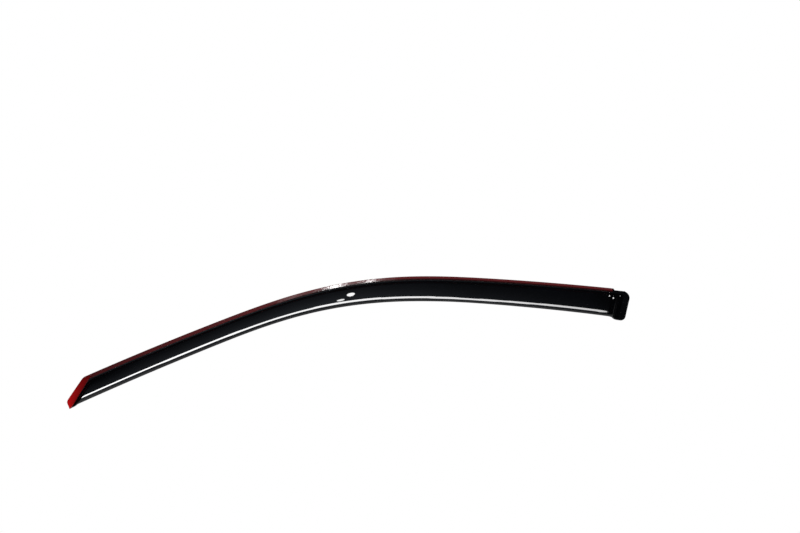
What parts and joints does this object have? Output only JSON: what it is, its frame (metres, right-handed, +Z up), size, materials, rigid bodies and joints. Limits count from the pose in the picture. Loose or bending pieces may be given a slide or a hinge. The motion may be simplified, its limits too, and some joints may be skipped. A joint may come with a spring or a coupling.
{
  "type": "window rain deflector",
  "caption": "Curved smoke acrylic rain deflector for a front door window, with taped rail and front flanges, a crowned blade that stands off the glass and a flat rear wing.",
  "frame": {"origin": "highest point of the rail flange's edge, on the face that seats in the window channel, with the part as it sits on the door", "axes": "+X rearward along the door, +Z up, -Y away from the car"},
  "size_m": [0.9511, 0.0527, 0.2236],
  "materials": {
    "smoke_acrylic": "polished dark smoke acrylic",
    "tape_foam": "fine closed-cell foam tape",
    "rail_liner": "thin red release film",
    "front_liner": "thin red release film"
  },
  "bodies": {
    "root": {"visor": "smoke_acrylic", "top_tape_foam": "tape_foam", "top_tape_liner": "rail_liner", "front_tape_foam": "tape_foam", "front_tape_liner": "front_liner"}
  },
  "joints": []
}
